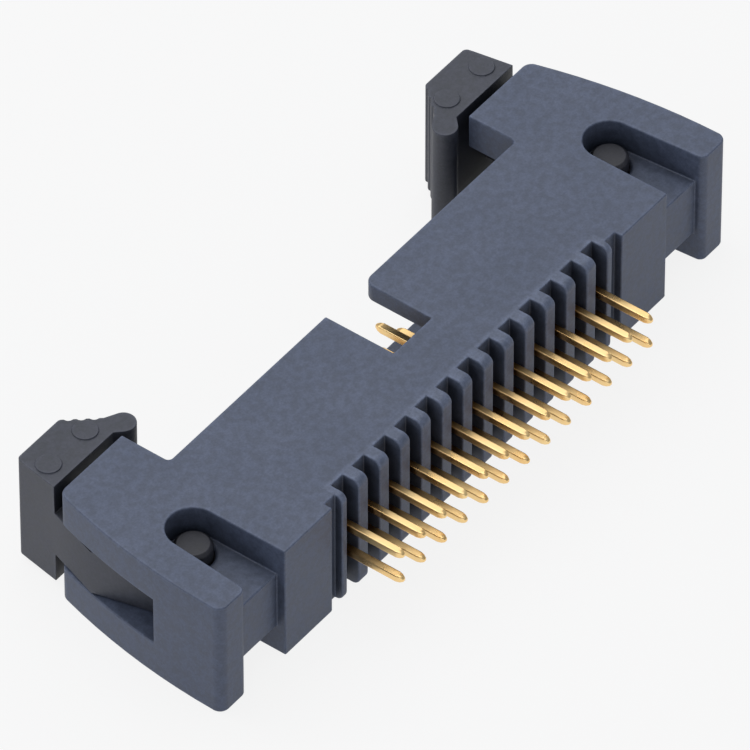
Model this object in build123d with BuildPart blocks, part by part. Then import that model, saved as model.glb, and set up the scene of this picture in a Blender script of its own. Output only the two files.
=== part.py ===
"""A two-row box header with ejector latches, lying on one broad side.

X runs along the rows of pins, +Y is the way the plug leaves, and Z is the thickness.
Every height below is measured along Y from the seating plane, which lies on the board.
The origin is on the face that the part lies on, in the middle of its outline.
"""

import os
from math import cos, radians, sin, sqrt

from build123d import *

# Pins: two straight rows of square posts with tapered tips.
columns = 13
rows = 2
pitch = 2.54
row_spacing = 2.54
pin_width = 0.64
pin_tip_length = 0.6
pin_shoulder_width = 0.54
pin_tip_width = 0.28
tail_length = 4.7
pin_drop = 1.0

# Housing: a box that is open towards the plug, with an ear at each end.
thickness = 10.8
wall = 1.6
cavity_floor = 5.0
cavity_depth = 7.4
cavity_end_space = 5.86
ear_rise = 4.4
ear_wall = 3.5
ear_taper = 2.5
ear_tail_radius = 0.8
ear_mouth_radius = 0.9
ear_root_radius = 0.4

# Polarising notch in the wall that faces up.
notch_width = 4.6
notch_sill = 1.1
notch_corner_radius = 0.9

# Comb on the seating side: one slot for each column, and a groove beyond the last rib.
slot_width = 1.4
slot_depth = 1.5
rib_radius = 0.65
end_rib_width = 0.6
groove_width = 1.2
groove_depth = 0.7
block_width = 5.66

# Keyholes in both broad faces of an ear, over the latch's trunnions.
keyhole_rim = 0.27
keyhole_skin = 0.45
keyhole_flare = 0.55
keyhole_mouth_radius = 0.6
web_height = 0.75
pivot_bevel = 0.2

# Pocket between the cheeks of an ear, in which the latch swings.
pocket_gap = 4.5
pocket_clearance = 0.45
sill_drop = 0.25
sill_bevel = 0.8

# Latch: an arm that turns on two short trunnions, with a toe that lifts the plug.
side_clearance = 0.1
floor_clearance = 0.15
running_clearance = 0.08
trunnion_radius = 1.5
trunnion_proud = 1.1
trunnion_bevel = 0.25
hub_wall = 0.2
heel_length = 0.7
arm_inset = 0.85
arm_knee_drop = 3.5
arm_fillet = 1.4
toe_overlap = 1.7
toe_thickness = 1.5
toe_radius = 0.35

# Head of the latch, from its rounded nose over the cavity to its outer end.
head_inset = 0.5
head_gap = 0.95
head_height = 4.0
head_setback = 0.55
head_taper = 0.7
head_top_length = 5.0
head_slope_run = 2.15
head_slope_drop = 2.5
head_corner_radius = 0.45
nose_radius = 1.0
nose_overlap = 2.52
nose_droop = 0.9
grip_count = 3
grip_pitch = 0.95
grip_radius = 0.45
grip_depth = 0.15

# Round marks that stand out of both broad faces of the head.
mark_radius = 1.0
mark_proud = 0.12
mark_margin = 0.9
mark_spacing = 4.35
mark_rise = 1.75

# Heights over the board that follow from the sizes above.
rim_height = cavity_floor + cavity_depth
ear_height = rim_height + ear_rise
pin_height = rim_height - pin_drop
toe_bottom = cavity_floor + floor_clearance
hub_radius = trunnion_radius + hub_wall
pivot_y = toe_bottom + hub_radius
window_sill = pivot_y - sill_drop
knee_y = ear_height - arm_knee_drop
head_bottom = ear_height + head_gap
head_top = head_bottom + head_height
middle = (tail_length - head_top) / 2

# Places along X, from the middle of the pin rows outwards.
last_column = (columns - 1) * pitch / 2
comb_half = last_column + slot_width / 2 + end_rib_width
cavity_half = last_column + cavity_end_space
block_half = comb_half + groove_width + block_width
pivot_hole_radius = trunnion_radius + running_clearance
keyhole_radius = pivot_hole_radius + pivot_bevel + keyhole_rim
pivot_x = block_half + keyhole_radius
keyhole_side = pivot_x + keyhole_radius
keyhole_mouth = keyhole_side + keyhole_flare
web_side = keyhole_mouth - keyhole_flare * web_height / pivot_y
ear_half = keyhole_side + ear_wall
ear_mouth_half = ear_half - ear_taper
ear_side_radius = (ear_height**2 + ear_taper**2) / (2 * ear_taper)
knee_x = ear_half - ear_side_radius + sqrt(ear_side_radius**2 - knee_y**2)
heel_x = pivot_x + hub_radius + heel_length
pocket_reach = heel_x + pocket_clearance
arm_inner = pivot_x - arm_inset
toe_reach = cavity_half - toe_overlap
head_outer_low = ear_mouth_half - head_setback
head_outer_high = head_outer_low - head_taper
head_inner_high = head_outer_high - head_top_length
mark_outer = head_outer_high - mark_margin
mark_inner = mark_outer - mark_spacing

# Places across the thickness.
mid_thickness = thickness / 2
keyhole_depth = (thickness - pocket_gap) / 2 - keyhole_skin
arm_thickness = pocket_gap - 2 * side_clearance
trunnion_span = pocket_gap + 2 * keyhole_skin + 2 * trunnion_proud
head_width = thickness - 2 * head_inset

# The sloping face and the centre of the nose's round.
slope_length = sqrt(head_slope_run**2 + head_slope_drop**2)
nose_x = cavity_half - nose_overlap + nose_radius
nose_y = head_bottom - nose_droop + nose_radius


def broad_plane(z):
    """Seen from above: local X and Y are X and the height over the board."""
    return Plane((0, middle, z))


def post_plane(x, y, z, way):
    """Square to the pins at this height; way is 1 towards the plug, -1 towards the board."""
    return Plane((x, middle + y, z), x_dir=(1, 0, 0), z_dir=(0, way, 0))


def on_nose(angle):
    """The point of the nose's round at this angle."""
    return (nose_x + nose_radius * cos(radians(angle)), nose_y + nose_radius * sin(radians(angle)))


with BuildPart() as housing:
    # Half of the outline, from the seating side round an ear to the rim, and its mirror image.
    with BuildSketch(broad_plane(0)) as outline:
        with BuildLine():
            Polyline(
                (0, rim_height),
                (0, 0),
                (block_half, 0),
                (block_half, web_height),
                (web_side, web_height),
                (keyhole_mouth, 0),
                (ear_half, 0),
            )
            TangentArc((ear_half, 0), (ear_mouth_half, ear_height), tangent=(0, 1))
            Polyline(
                (ear_mouth_half, ear_height),
                (cavity_half, ear_height),
                (cavity_half, rim_height),
                (0, rim_height),
            )
        make_face()
        fillet(outline.vertices().sort_by_distance((keyhole_mouth, 0))[0], keyhole_mouth_radius)
        fillet(outline.vertices().sort_by_distance((ear_half, 0))[0], ear_tail_radius)
        fillet(outline.vertices().sort_by_distance((ear_mouth_half, ear_height))[0], ear_mouth_radius)
        fillet(outline.vertices().sort_by_distance((cavity_half, rim_height))[0], ear_root_radius)
        mirror(about=Plane.YZ)
    extrude(amount=thickness)

    # The plug's cavity, open over the rim.
    with BuildSketch(broad_plane(wall)):
        with Locations((0, cavity_floor)):
            Rectangle(2 * cavity_half, ear_height, align=(Align.CENTER, Align.MIN))
    extrude(amount=thickness - 2 * wall, mode=Mode.SUBTRACT)

    # The pockets of the latches, open to the cavity, to the plug and through the ear's end,
    # with a bevelled sill that lets the arm swing down.
    with BuildSketch(broad_plane(mid_thickness)) as pocket:
        with Locations((0, cavity_floor)):
            Rectangle(2 * pocket_reach, ear_height, align=(Align.CENTER, Align.MIN))
        with Locations((0, window_sill)):
            Rectangle(3 * ear_half, ear_height, align=(Align.CENTER, Align.MIN))
        chamfer(pocket.vertices().sort_by_distance((pocket_reach, window_sill))[0], sill_bevel)
        chamfer(pocket.vertices().sort_by_distance((-pocket_reach, window_sill))[0], sill_bevel)
    extrude(amount=pocket_gap / 2, both=True, mode=Mode.SUBTRACT)

    # The polarising notch, with one of its lips rounded.
    with BuildSketch(broad_plane(thickness - wall)) as notch:
        with Locations((0, cavity_floor + notch_sill)):
            Rectangle(notch_width, cavity_depth - notch_sill, align=(Align.CENTER, Align.MIN))
        with Locations((notch_width / 2, rim_height)):
            Rectangle(notch_corner_radius, notch_corner_radius, align=(Align.MIN, Align.MAX))
        with Locations((notch_width / 2 + notch_corner_radius, rim_height - notch_corner_radius)):
            Circle(notch_corner_radius, mode=Mode.SUBTRACT)
    extrude(amount=wall, mode=Mode.SUBTRACT)

    # The comb: a slot for each column, rounded ribs between them and a groove at each end.
    with BuildSketch(Plane((0, middle, 0), x_dir=(0, 1, 0), z_dir=(1, 0, 0))):
        Rectangle(rib_radius, thickness, align=(Align.MIN, Align.MIN))
        RectangleRounded(
            pivot_y,
            thickness,
            rib_radius,
            align=(Align.MIN, Align.MIN),
            mode=Mode.SUBTRACT,
        )
    extrude(amount=comb_half, both=True, mode=Mode.SUBTRACT)
    with BuildSketch(broad_plane(0)):
        with Locations((0, slot_depth / 2)):
            with GridLocations(pitch, 0, columns, 1):
                Rectangle(slot_width, slot_depth)
        with Locations((0, groove_depth / 2)):
            with GridLocations(2 * comb_half + groove_width, 0, 2, 1):
                Rectangle(groove_width, groove_depth)
    extrude(amount=thickness, mode=Mode.SUBTRACT)

    # Square holes that hold the pins.
    with BuildSketch(post_plane(0, 0, mid_thickness, 1)):
        with GridLocations(pitch, row_spacing, columns, rows):
            Rectangle(pin_width, pin_width)
    extrude(amount=cavity_floor, mode=Mode.SUBTRACT)

    # Keyholes sunk into both broad faces, open towards the board.
    for face_height, way in ((0, 1), (thickness, -1)):
        with BuildSketch(broad_plane(face_height)):
            with BuildLine():
                Polyline(
                    (block_half, web_height),
                    (block_half, pivot_y),
                    (keyhole_side, pivot_y),
                    (web_side, web_height),
                    (block_half, web_height),
                )
            make_face()
            with Locations((pivot_x, pivot_y)):
                Circle(keyhole_radius)
            mirror(about=Plane.YZ)
        extrude(amount=way * keyhole_depth, mode=Mode.SUBTRACT)

    # Bearings of the trunnions in the skin that is left, with a bevel round the rim.
    with BuildSketch(broad_plane(0)):
        with Locations((0, pivot_y)):
            with GridLocations(2 * pivot_x, 0, 2, 1):
                Circle(pivot_hole_radius)
    extrude(amount=thickness, mode=Mode.SUBTRACT)
    bearing_edges = housing.edges().filter_by(GeomType.CIRCLE)
    bearing_edges = bearing_edges.filter_by(lambda edge: abs(edge.radius - pivot_hole_radius) < 0.01)
    bearing_edges = bearing_edges.group_by(Axis.Z)
    chamfer(bearing_edges[0] + bearing_edges[-1], pivot_bevel)

housing.part.label = "housing"

with BuildPart() as latch_right:
    # Hub, arm and toe, thin enough to swing between the cheeks. From its knee up to the head
    # the arm's outer side closes the window in line with the ear.
    with BuildSketch(broad_plane(mid_thickness)) as lever:
        with BuildLine():
            Polyline(
                (toe_reach, toe_bottom),
                (pivot_x, toe_bottom),
                (pivot_x, pivot_y),
                (heel_x, pivot_y),
                (knee_x, knee_y),
                (head_outer_low, head_bottom),
                (arm_inner, head_bottom + head_height / 2),
                (arm_inner, toe_bottom + toe_thickness),
                (toe_reach, toe_bottom + toe_thickness),
                (toe_reach, toe_bottom),
            )
        make_face()
        fillet(
            lever.vertices().sort_by_distance((arm_inner, toe_bottom + toe_thickness))[0],
            arm_fillet,
        )
        fillet(lever.vertices().group_by(Axis.X)[0], toe_radius)
        with Locations((pivot_x, pivot_y)):
            Circle(hub_radius)
    extrude(amount=arm_thickness / 2, both=True)

    # Trunnions that stand out of the arm into the keyholes.
    with BuildSketch(broad_plane(mid_thickness)):
        with Locations((pivot_x, pivot_y)):
            Circle(trunnion_radius)
    extrude(amount=trunnion_span / 2, both=True)
    trunnion_ends = latch_right.faces().sort_by(Axis.Z)
    chamfer(trunnion_ends[0].edges() + trunnion_ends[-1].edges(), trunnion_bevel)

    # Head with a sloping inner face, and a round nose that droops over the cavity.
    with BuildSketch(broad_plane(mid_thickness)) as head:
        with BuildLine():
            Polyline(
                (head_outer_low, head_bottom),
                (head_outer_high, head_top),
                (head_inner_high, head_top),
                (head_inner_high - head_slope_run, head_top - head_slope_drop),
                on_nose(120),
                (nose_x, nose_y),
                on_nose(-45),
                (nose_x + head_bottom - nose_y + nose_radius * sqrt(2), head_bottom),
                (head_outer_low, head_bottom),
            )
        make_face()
        fillet(
            [
                head.vertices().sort_by_distance((head_outer_high, head_top))[0],
                head.vertices().sort_by_distance((head_inner_high, head_top))[0],
            ],
            head_corner_radius,
        )
        with Locations((nose_x, nose_y)):
            Circle(nose_radius)
        # Grip grooves across the sloping face.
        grip_offset = (grip_radius - grip_depth) / slope_length
        for groove in range(grip_count):
            share = 0.5 + (groove - (grip_count - 1) / 2) * grip_pitch / slope_length
            grip_x = head_inner_high - share * head_slope_run - grip_offset * head_slope_drop
            grip_y = head_top - share * head_slope_drop + grip_offset * head_slope_run
            with Locations((grip_x, grip_y)):
                Circle(grip_radius, mode=Mode.SUBTRACT)
    extrude(amount=head_width / 2, both=True)

    # Round marks on both broad faces.
    with BuildSketch(broad_plane(mid_thickness)):
        with Locations((mark_outer, head_bottom + mark_rise), (mark_inner, head_bottom + mark_rise)):
            Circle(mark_radius)
    extrude(amount=head_width / 2 + mark_proud, both=True)

latch_right.part.label = "latch_right"

with BuildPart() as latch_left:
    mirror(latch_right.part, about=Plane.YZ)

latch_left.part.label = "latch_left"

os.makedirs("parts", exist_ok=True)
export_step(housing.part, "parts/housing.step")
export_step(latch_left.part, "parts/latch_left.step")
export_step(latch_right.part, "parts/latch_right.step")

# The pins: one solid each, named by row and by column.
for row in range(rows):
    for column in range(columns):
        x = (column - (columns - 1) / 2) * pitch
        z = mid_thickness + (row - (rows - 1) / 2) * row_spacing
        with BuildPart() as pin:
            with BuildSketch(post_plane(x, pin_tip_length - tail_length, z, 1)):
                Rectangle(pin_width, pin_width)
            extrude(amount=tail_length + pin_height - 2 * pin_tip_length)
            # The tip narrows in two steps, so that it ends in a blunt nub.
            for end, way in ((-tail_length, -1), (pin_height, 1)):
                with BuildSketch(post_plane(x, end - way * pin_tip_length, z, way)):
                    Rectangle(pin_width, pin_width)
                with BuildSketch(post_plane(x, end - way * pin_tip_length / 2, z, way)):
                    Rectangle(pin_shoulder_width, pin_shoulder_width)
                with BuildSketch(post_plane(x, end, z, way)):
                    Rectangle(pin_tip_width, pin_tip_width)
                loft(ruled=True)
        name = f"contact_pin_{'ab'[row]}{column + 1:02d}"
        pin.part.label = name
        export_step(pin.part, f"parts/{name}.step")
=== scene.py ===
from math import cos, radians, sin

import bpy
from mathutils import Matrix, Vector

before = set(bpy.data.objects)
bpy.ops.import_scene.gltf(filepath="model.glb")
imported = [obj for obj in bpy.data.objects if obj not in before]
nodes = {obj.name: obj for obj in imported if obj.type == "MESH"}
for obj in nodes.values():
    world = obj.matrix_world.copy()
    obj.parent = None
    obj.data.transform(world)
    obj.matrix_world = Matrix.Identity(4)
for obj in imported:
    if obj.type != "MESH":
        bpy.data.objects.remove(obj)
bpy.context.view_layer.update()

scene = bpy.context.scene
latches = ("latch_left", "latch_right")
pins = [name for name in nodes if name.startswith("contact_pin")]

mm = 0.001

# Places on the part where painted light changes its plastics' tone: a painted highlight on the rib
# ends, painted shade on the trunnion ends. Heights are along Y, over the board.
board = -8.525 * mm
mid_thickness = 5.4 * mm
comb_half = 16.54 * mm
rib_end_height = 1.85 * mm
rib_end_depth = 0.9 * mm
pivot_x = 25.45 * mm
pivot_height = 6.85 * mm
trunnion_radius = 1.5 * mm
arm_half_thickness = 2.15 * mm


# Tools for wiring materials. A value may be a number, a colour or another node's output.

def new_material(name, colour, roughness, metallic=0.0):
    material = bpy.data.materials.new(name)
    material.use_nodes = True
    shader = material.node_tree.nodes["Principled BSDF"]
    shader.inputs["Base Color"].default_value = (*colour, 1)
    shader.inputs["Roughness"].default_value = roughness
    shader.inputs["Metallic"].default_value = metallic
    return material, shader


def link(material, out_socket, in_socket):
    material.node_tree.links.new(out_socket, in_socket)


def feed(material, socket, value):
    if isinstance(value, bpy.types.NodeSocket):
        link(material, value, socket)
    else:
        socket.default_value = value


def add_node(material, kind, **inputs):
    node = material.node_tree.nodes.new(kind)
    for name, value in inputs.items():
        feed(material, node.inputs[name.replace("_", " ")], value)
    return node


def calculate(material, operation, *values):
    """Applies a Math operation to the values, two at a time where there are more."""
    total = values[0]
    for value in values[1:] or (None,):
        node = add_node(material, "ShaderNodeMath")
        node.operation = operation
        feed(material, node.inputs[0], total)
        if value is not None:
            feed(material, node.inputs[1], value)
        total = node.outputs[0]
    return total


def mix(material, share, low, high, blend="MIX"):
    node = add_node(material, "ShaderNodeMix")
    node.data_type = "RGBA"
    node.blend_type = blend
    feed(material, node.inputs["Factor"], share)
    feed(material, node.inputs["A"], low)
    feed(material, node.inputs["B"], high)
    return node.outputs["Result"]


def tint(material, tone, share, low, high):
    """Multiplies a colour by low to high, as the share goes from 0 to 1."""
    by = mix(material, share, (*low, 1), (*high, 1))
    return mix(material, 1.0, tone, by, "MULTIPLY")


def to_range(material, value, from_low, from_high, low, high):
    node = add_node(
        material,
        "ShaderNodeMapRange",
        Value=value,
        From_Min=from_low,
        From_Max=from_high,
        To_Min=low,
        To_Max=high,
    )
    return node.outputs["Result"]


def place_on_part(material):
    """Distance from the middle along X, height over the board, and distance from mid thickness."""
    where = add_node(material, "ShaderNodeTexCoord")
    split = add_node(material, "ShaderNodeSeparateXYZ", Vector=where.outputs["Object"])
    sideways = calculate(material, "ABSOLUTE", split.outputs["X"])
    height = calculate(material, "SUBTRACT", split.outputs["Y"], board)
    depth = calculate(material, "SUBTRACT", split.outputs["Z"], mid_thickness)
    return sideways, height, calculate(material, "ABSOLUTE", depth)


def noise(material, scale, detail=2.0, roughness=0.5):
    """Noise as a grey value; scale is features per metre."""
    where = add_node(material, "ShaderNodeTexCoord")
    texture = add_node(
        material,
        "ShaderNodeTexNoise",
        Vector=where.outputs["Object"],
        Scale=scale,
        Detail=detail,
        Roughness=roughness,
    )
    return texture.outputs["Fac"]


def surroundings(material, reach, inside=False, alone=True):
    """How open the surface is within this reach, or inside, how thick its piece is there."""
    probe = add_node(material, "ShaderNodeAmbientOcclusion", Distance=reach)
    probe.samples = 10
    probe.inside = inside
    probe.only_local = alone
    return probe.outputs["AO"]


# Plastics

def rib_end_highlight(material):
    """Where a painted highlight goes: the rounded ends of the comb's ribs, at both broad faces."""
    x, height, depth = place_on_part(material)
    fade = rib_end_height - 0.2 * mm
    near_board = to_range(material, height, fade, fade + 0.3 * mm, 1, 0)
    in_comb = to_range(material, x, comb_half, comb_half + 0.1 * mm, 1, 0)
    edge = mid_thickness - rib_end_depth
    near_face = to_range(material, depth, edge, edge + 0.3 * mm, 0, 1)
    return calculate(material, "MULTIPLY", near_board, in_comb, near_face)


def trunnion_end_shade(material):
    """Where painted shade goes: the ends of the trunnions, beyond the arm's faces."""
    x, height, depth = place_on_part(material)
    away = calculate(material, "SUBTRACT", x, pivot_x)
    rise = calculate(material, "SUBTRACT", height, pivot_height)
    away_squared = calculate(material, "MULTIPLY", away, away)
    rise_squared = calculate(material, "MULTIPLY", rise, rise)
    squared = calculate(material, "ADD", away_squared, rise_squared)
    inner = (trunnion_radius + 0.1 * mm) ** 2
    outer = (trunnion_radius + 0.3 * mm) ** 2
    near_axis = to_range(material, squared, inner, outer, 1, 0)
    edge = arm_half_thickness + 0.15 * mm
    beyond_arm = to_range(material, depth, edge, edge + 0.1 * mm, 0, 1)
    return calculate(material, "MULTIPLY", near_axis, beyond_arm)


def moulded_plastic(name, dark, light, roughness, painted_light_place, painted_light_tint, recess_shade):
    """Matte plastic: slow drifts of tone, a low mottle, a fine grain, painted highlights along
    edges, and painted shade in recesses.

    The place argument marks where painted light goes, a painted highlight or painted shade, in the
    tint given with it. The recess argument gives how dark the painted shade in recesses goes, how
    far it reaches in metres, and whether only the piece's own shape casts it.
    """
    material, shader = new_material(name, light, roughness)
    drift = noise(material, 230, detail=3)
    mottle = noise(material, 1500, detail=3, roughness=0.6)
    grain = noise(material, 5200, detail=3, roughness=0.6)
    tone = mix(material, to_range(material, mottle, 0.38, 0.62, 0, 1), (*dark, 1), (*light, 1))
    speckle = to_range(material, grain, 0.35, 0.65, 0, 1)
    tone = tint(material, tone, speckle, (0.88, 0.88, 0.90), (1.12, 1.11, 1.10))
    slow = to_range(material, drift, 0.3, 0.7, 0, 1)
    tone = tint(material, tone, slow, (0.93, 0.94, 0.95), (1.06, 1.05, 1.04))
    # Painted light on one place: a painted highlight or painted shade, by the tint given.
    tone = tint(material, tone, painted_light_place(material), (1, 1, 1), painted_light_tint)

    # Painted highlights along edges: the surface is made lighter where the piece is thin near an
    # edge.
    thickness = surroundings(material, 0.3 * mm, inside=True)
    edge_highlight = to_range(material, thickness, 0.62, 0.94, 1.32, 1.0)
    tone = mix(material, 1.0, tone, edge_highlight, "MULTIPLY")
    # Painted shade: the tone darkens in recesses and, where not only the own shape counts, near
    # other parts.
    darkest, reach, alone = recess_shade
    openness = surroundings(material, reach, alone=alone)
    shade = to_range(material, openness, 0.30, 0.80, darkest, 1.0)
    tone = mix(material, 1.0, tone, shade, "MULTIPLY")

    link(material, tone, shader.inputs["Base Color"])
    gloss = to_range(material, mottle, 0.3, 0.7, roughness - 0.05, roughness + 0.06)
    link(material, gloss, shader.inputs["Roughness"])
    bump = add_node(material, "ShaderNodeBump", Height=grain, Strength=0.25, Distance=0.012 * mm)
    link(material, bump.outputs["Normal"], shader.inputs["Normal"])
    return material


housing_plastic = moulded_plastic(
    "housing_plastic",
    dark=(0.066, 0.083, 0.130),
    light=(0.089, 0.111, 0.174),
    roughness=0.52,
    # A painted highlight on the rib ends, and painted shade in the housing's own recesses.
    painted_light_place=rib_end_highlight,
    painted_light_tint=(1.32, 1.30, 1.26),
    recess_shade=(0.30, 4.5 * mm, True),
)
latch_plastic = moulded_plastic(
    "latch_plastic",
    dark=(0.040, 0.045, 0.061),
    light=(0.055, 0.060, 0.082),
    roughness=0.50,
    # Painted shade on the trunnion ends, in recesses, and where the housing stands near the latch.
    painted_light_place=trunnion_end_shade,
    painted_light_tint=(0.50, 0.48, 0.48),
    recess_shade=(0.2, 1.8 * mm, False),
)


# Gold flash: bright and smooth, a little uneven in tone and gloss along the post.
contact_gold, gold_shader = new_material("contact_gold", (0.96, 0.69, 0.34), 0.28, metallic=1.0)
unevenness = noise(contact_gold, 420)
gold_share = to_range(contact_gold, unevenness, 0.3, 0.7, 0, 1)
gold_tone = mix(contact_gold, gold_share, (0.93, 0.61, 0.26, 1), (0.99, 0.73, 0.36, 1))
# Painted shade: the gold goes brown where a pin stands deep between the ribs.
openness = surroundings(contact_gold, 2.5 * mm, alone=False)
unshaded_share = to_range(contact_gold, openness, 0.35, 0.85, 0, 1)
gold_tone = tint(contact_gold, gold_tone, unshaded_share, (0.38, 0.24, 0.13), (1, 1, 1))
link(contact_gold, gold_tone, gold_shader.inputs["Base Color"])
gold_gloss = to_range(contact_gold, unevenness, 0.3, 0.7, 0.24, 0.34)
link(contact_gold, gold_gloss, gold_shader.inputs["Roughness"])


def dress(node, material, edge, segments=2):
    """Gives a CAD node its finish, and rounds its sharp edges by a small radius in metres."""
    piece = nodes[node]
    piece.data.materials.clear()
    piece.data.materials.append(material)
    # The faces come unjoined, so they are welded and merged before their edges can be rounded.
    weld = piece.modifiers.new("weld", "WELD")
    weld.merge_threshold = 0.002 * mm
    merge = piece.modifiers.new("flat_faces", "DECIMATE")
    merge.decimate_type = "DISSOLVE"
    merge.angle_limit = radians(0.3)
    bevel = piece.modifiers.new("edge_break", "BEVEL")
    bevel.width = edge
    bevel.segments = segments
    bevel.limit_method = "ANGLE"
    bevel.angle_limit = radians(38)
    bevel.use_clamp_overlap = False
    normals = piece.modifiers.new("normals", "WEIGHTED_NORMAL")
    normals.weight = 50
    normals.keep_sharp = False


dress("housing", housing_plastic, 0.12 * mm)
for node in latches:
    dress(node, latch_plastic, 0.055 * mm)
for node in pins:
    dress(node, contact_gold, 0.1 * mm, segments=3)


# Floor: what a camera or a mirror image sees is nearly white, with the object's faint shadow.

floor_paint, floor_shader = new_material("floor_paint", (0.6, 0.6, 0.61), 0.8)
path = add_node(floor_paint, "ShaderNodeLightPath").outputs
seen = calculate(
    floor_paint,
    "MAXIMUM",
    path["Is Camera Ray"],
    path["Is Glossy Ray"],
    path["Is Transmission Ray"],
)
white_share = calculate(floor_paint, "MULTIPLY", seen, 0.86)
white = add_node(floor_paint, "ShaderNodeEmission", Color=(1, 1, 1, 1), Strength=1.0)
whitened = add_node(floor_paint, "ShaderNodeMixShader", Fac=white_share)
link(floor_paint, floor_shader.outputs[0], whitened.inputs[1])
link(floor_paint, white.outputs[0], whitened.inputs[2])
surface = floor_paint.node_tree.nodes["Material Output"].inputs["Surface"]
link(floor_paint, whitened.outputs[0], surface)

floor_half = 3.0
corner_signs = ((-1, -1), (1, -1), (1, 1), (-1, 1))
floor_corners = [(x * floor_half, y * floor_half, 0) for x, y in corner_signs]
floor_mesh = bpy.data.meshes.new("floor")
floor_mesh.from_pydata(floor_corners, [], [(0, 1, 2, 3)])
floor_mesh.materials.append(floor_paint)
floor = bpy.data.objects.new("floor", floor_mesh)
floor.location.z = -0.02 * mm
scene.collection.objects.link(floor)


# Light: an even sky, brighter at the horizon, and four soft lamps.

def studio_sky(zenith, horizon, colour):
    world = bpy.data.worlds.new("studio")
    world.use_nodes = True
    tree = world.node_tree
    where = tree.nodes.new("ShaderNodeTexCoord")
    split = tree.nodes.new("ShaderNodeSeparateXYZ")
    level = tree.nodes.new("ShaderNodeMapRange")
    level.inputs["From Max"].default_value = 0.85
    level.inputs["To Min"].default_value = horizon
    level.inputs["To Max"].default_value = zenith
    tree.links.new(where.outputs["Generated"], split.inputs["Vector"])
    tree.links.new(split.outputs["Z"], level.inputs["Value"])
    background = tree.nodes["Background"]
    background.inputs["Color"].default_value = (*colour, 1)
    tree.links.new(level.outputs["Result"], background.inputs["Strength"])
    return world


def area_light(name, location, size, power, colour=(1, 1, 1)):
    """A round lamp that faces the middle of the part."""
    lamp = bpy.data.lights.new(name, "AREA")
    lamp.shape = "DISK"
    lamp.size = size
    lamp.energy = power
    lamp.color = colour
    holder = bpy.data.objects.new(name, lamp)
    holder.location = location
    towards = Vector((0, 0, 5 * mm)) - Vector(location)
    holder.rotation_euler = towards.to_track_quat("-Z", "Y").to_euler()
    scene.collection.objects.link(holder)


scene.world = studio_sky(0.3, 0.5, (0.93, 0.96, 1.0))
area_light("key", (-0.10, 0.42, 0.55), 0.6, 1.7)
# Overhead, for the light lines along rounded edges.
area_light("top", (0.10, 0.02, 0.70), 0.5, 1.15)
# A dimmer card, where the pins' upper faces mirror it.
area_light("card", (0.35, 0.265, 0.44), 0.44, 0.48)
area_light("fill", (-0.55, -0.30, 0.22), 0.40, 0.4, (0.95, 0.97, 1.0))


# Camera: a long lens, because the photograph is a nearly parallel view.

azimuth = radians(-52.8)
elevation = radians(45.0)
distance = 1.0
margin = 1.07
sensor = 36.0
level_back = Vector((sin(azimuth), -cos(azimuth), 0))
back = level_back * cos(elevation) + Vector((0, 0, sin(elevation)))
right = Vector((cos(azimuth), sin(azimuth), 0))
up = back.cross(right)
corners = [Vector(vertex.co) for node in nodes.values() for vertex in node.data.vertices]
across = [corner.dot(right) for corner in corners]
along = [corner.dot(up) for corner in corners]
middle = right * (max(across) + min(across)) / 2 + up * (max(along) + min(along)) / 2
span = max(max(across) - min(across), max(along) - min(along))
camera_data = bpy.data.cameras.new("camera")
camera_data.sensor_width = sensor
camera_data.lens = sensor * distance / (span * margin)
camera_data.clip_start = 0.1
camera_data.clip_end = 10.0
camera = bpy.data.objects.new("camera", camera_data)
camera.location = middle + back * distance
camera.rotation_mode = "QUATERNION"
camera.rotation_quaternion = (-back).to_track_quat("-Z", "Y")
scene.collection.objects.link(camera)
scene.camera = camera

scene.view_settings.view_transform = "Standard"
